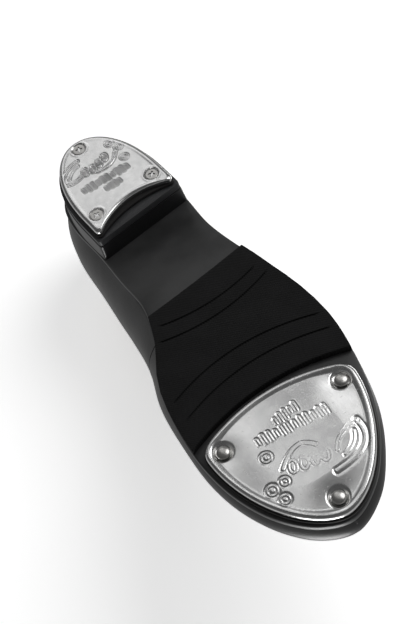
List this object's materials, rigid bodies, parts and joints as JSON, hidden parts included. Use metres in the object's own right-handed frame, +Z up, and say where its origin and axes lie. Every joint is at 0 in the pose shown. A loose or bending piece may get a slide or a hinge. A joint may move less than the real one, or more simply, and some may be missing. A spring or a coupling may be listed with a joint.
{
  "type": "tap shoe",
  "caption": "Low-heeled dance shoe with cast taps under heel and toe, rubber half sole, leather upper and a hook-and-loop strap.",
  "frame": {"origin": "middle of the heel tap's walking face, on the floor the shoe stands on", "axes": "+Z up, -Y towards the toe, +X towards the inner side of the foot (right shoe)"},
  "size_m": [0.0869, 0.2549, 0.0864],
  "materials": {
    "cast_alloy": "satin cast",
    "steel": "bright",
    "fibre_board": "black pressed fibre",
    "top_lift": "dark grey",
    "heel_stack": "blackened, waxed",
    "sole_rubber": "matt",
    "sole_leather": "blackened, smooth",
    "upper_leather": "grained, satin",
    "lining": "woven",
    "stiffener": "resin-stiffened felt",
    "cork": "cork",
    "insole_board": "pressed fibre",
    "sock": "covered foam",
    "hook_loop": "hook and loop"
  },
  "bodies": {
    "shoe": {"heel_tap": "cast_alloy", "toe_tap": "cast_alloy", "heel_screw_rear": "steel", "heel_screw_inner": "steel", "heel_screw_outer": "steel", "heel_nail_rear": "steel", "heel_nail_inner": "steel", "heel_nail_outer": "steel", "heel_nail_front": "steel", "heel_fixing_screw": "steel", "toe_rivet_inner": "steel", "toe_rivet_outer": "steel", "toe_rivet_front": "steel", "rivet_washer_inner": "steel", "rivet_washer_outer": "steel", "rivet_washer_front": "steel", "shank": "steel", "heel_sound_board": "fibre_board", "toe_sound_board": "fibre_board", "heel_top_lift": "top_lift", "heel_block": "heel_stack", "rubber_half_sole": "sole_rubber", "outsole": "sole_leather", "bottom_filler": "cork", "insole_board": "insole_board", "sock_cushion": "sock", "vamp": "upper_leather", "inner_quarter": "upper_leather", "outer_quarter": "upper_leather", "back_stay": "upper_leather", "topline_binding": "upper_leather", "vamp_lining": "lining", "inner_quarter_lining": "lining", "outer_quarter_lining": "lining", "toe_puff": "stiffener", "heel_counter": "stiffener", "loop_patch": "hook_loop"},
    "strap": {"strap": "upper_leather", "strap_lining": "lining", "hook_patch": "hook_loop"}
  },
  "joints": [
    {"name": "strap_swing", "type": "hinge", "parent": "shoe", "child": "strap", "pos_m": [0.0258, -0.0622, 0.0603], "axis": [0, 1, 0], "range_deg": [0, 120]}
  ]
}
